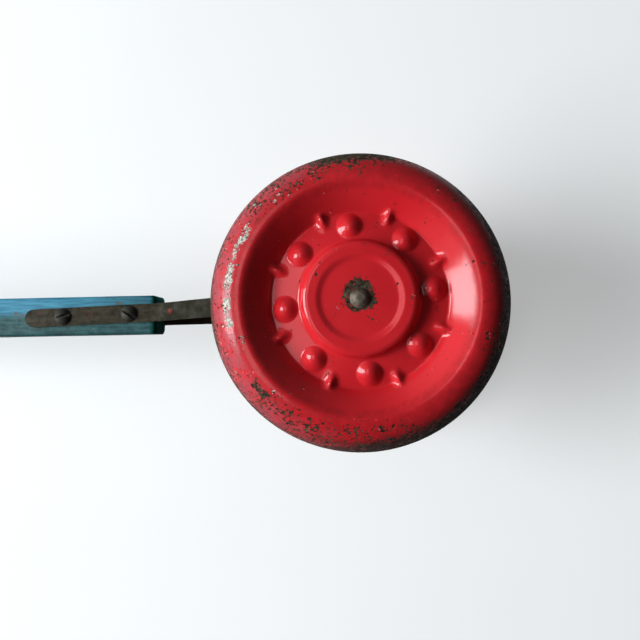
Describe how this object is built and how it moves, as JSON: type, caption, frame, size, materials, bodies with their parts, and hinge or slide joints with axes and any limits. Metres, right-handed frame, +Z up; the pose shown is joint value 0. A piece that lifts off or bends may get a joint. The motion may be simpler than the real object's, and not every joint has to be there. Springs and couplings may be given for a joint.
{
  "type": "toy cement mixer",
  "caption": "push toy: pressed steel wheels and a mixing drum turn together on an axle held by a steel strap fork on a wooden handle",
  "frame": {"origin": "the floor point under the middle of the toy's length and width; the axle's middle is at [0.216972, 0, 0.07] m", "axes": "+X forward, away from the handle; +Y along the axle towards the left wheel; +Z up. The wheels stand on z = 0 and the handle's far end rests there too"},
  "size_m": [0.574, 0.115, 0.14],
  "materials": {
    "handle_wood": "worn blue paint over wood",
    "fork_steel": "dark aged bare steel",
    "screw_steel": "dark aged bare steel",
    "wheel_enamel": "gloss enamel, chipped at the rim",
    "axle_steel": "dark aged bare steel",
    "drum_enamel": "gloss enamel",
    "fitting_steel": "plain steel"
  },
  "bodies": {
    "fork_and_handle": {"handle_stick": "handle_wood", "right_strap": "fork_steel", "left_strap": "fork_steel", "right_strap_screws": "screw_steel", "left_strap_screws": "screw_steel"},
    "rolling_set": {"axle": "axle_steel", "right_wheel_face": "wheel_enamel", "right_wheel_back": "wheel_enamel", "right_wheel_sleeve": "fitting_steel", "right_wheel_washer": "fitting_steel", "left_wheel_face": "wheel_enamel", "left_wheel_back": "wheel_enamel", "left_wheel_sleeve": "fitting_steel", "left_wheel_washer": "fitting_steel", "drum_right_shell": "drum_enamel", "drum_left_shell": "drum_enamel", "drum_mouth_collar": "drum_enamel", "drum_paddles": "fitting_steel", "drum_right_hub": "fitting_steel", "drum_left_hub": "fitting_steel", "drum_right_rivets": "fitting_steel", "drum_left_rivets": "fitting_steel", "drum_drive_pin": "fitting_steel", "right_drum_washer": "fitting_steel", "left_drum_washer": "fitting_steel"}
  },
  "joints": [
    {"name": "axle_spin", "type": "hinge", "parent": "fork_and_handle", "child": "rolling_set", "pos_m": [0.21697, 0, 0.07], "axis": [0, 1, 0], "continuous": true}
  ]
}
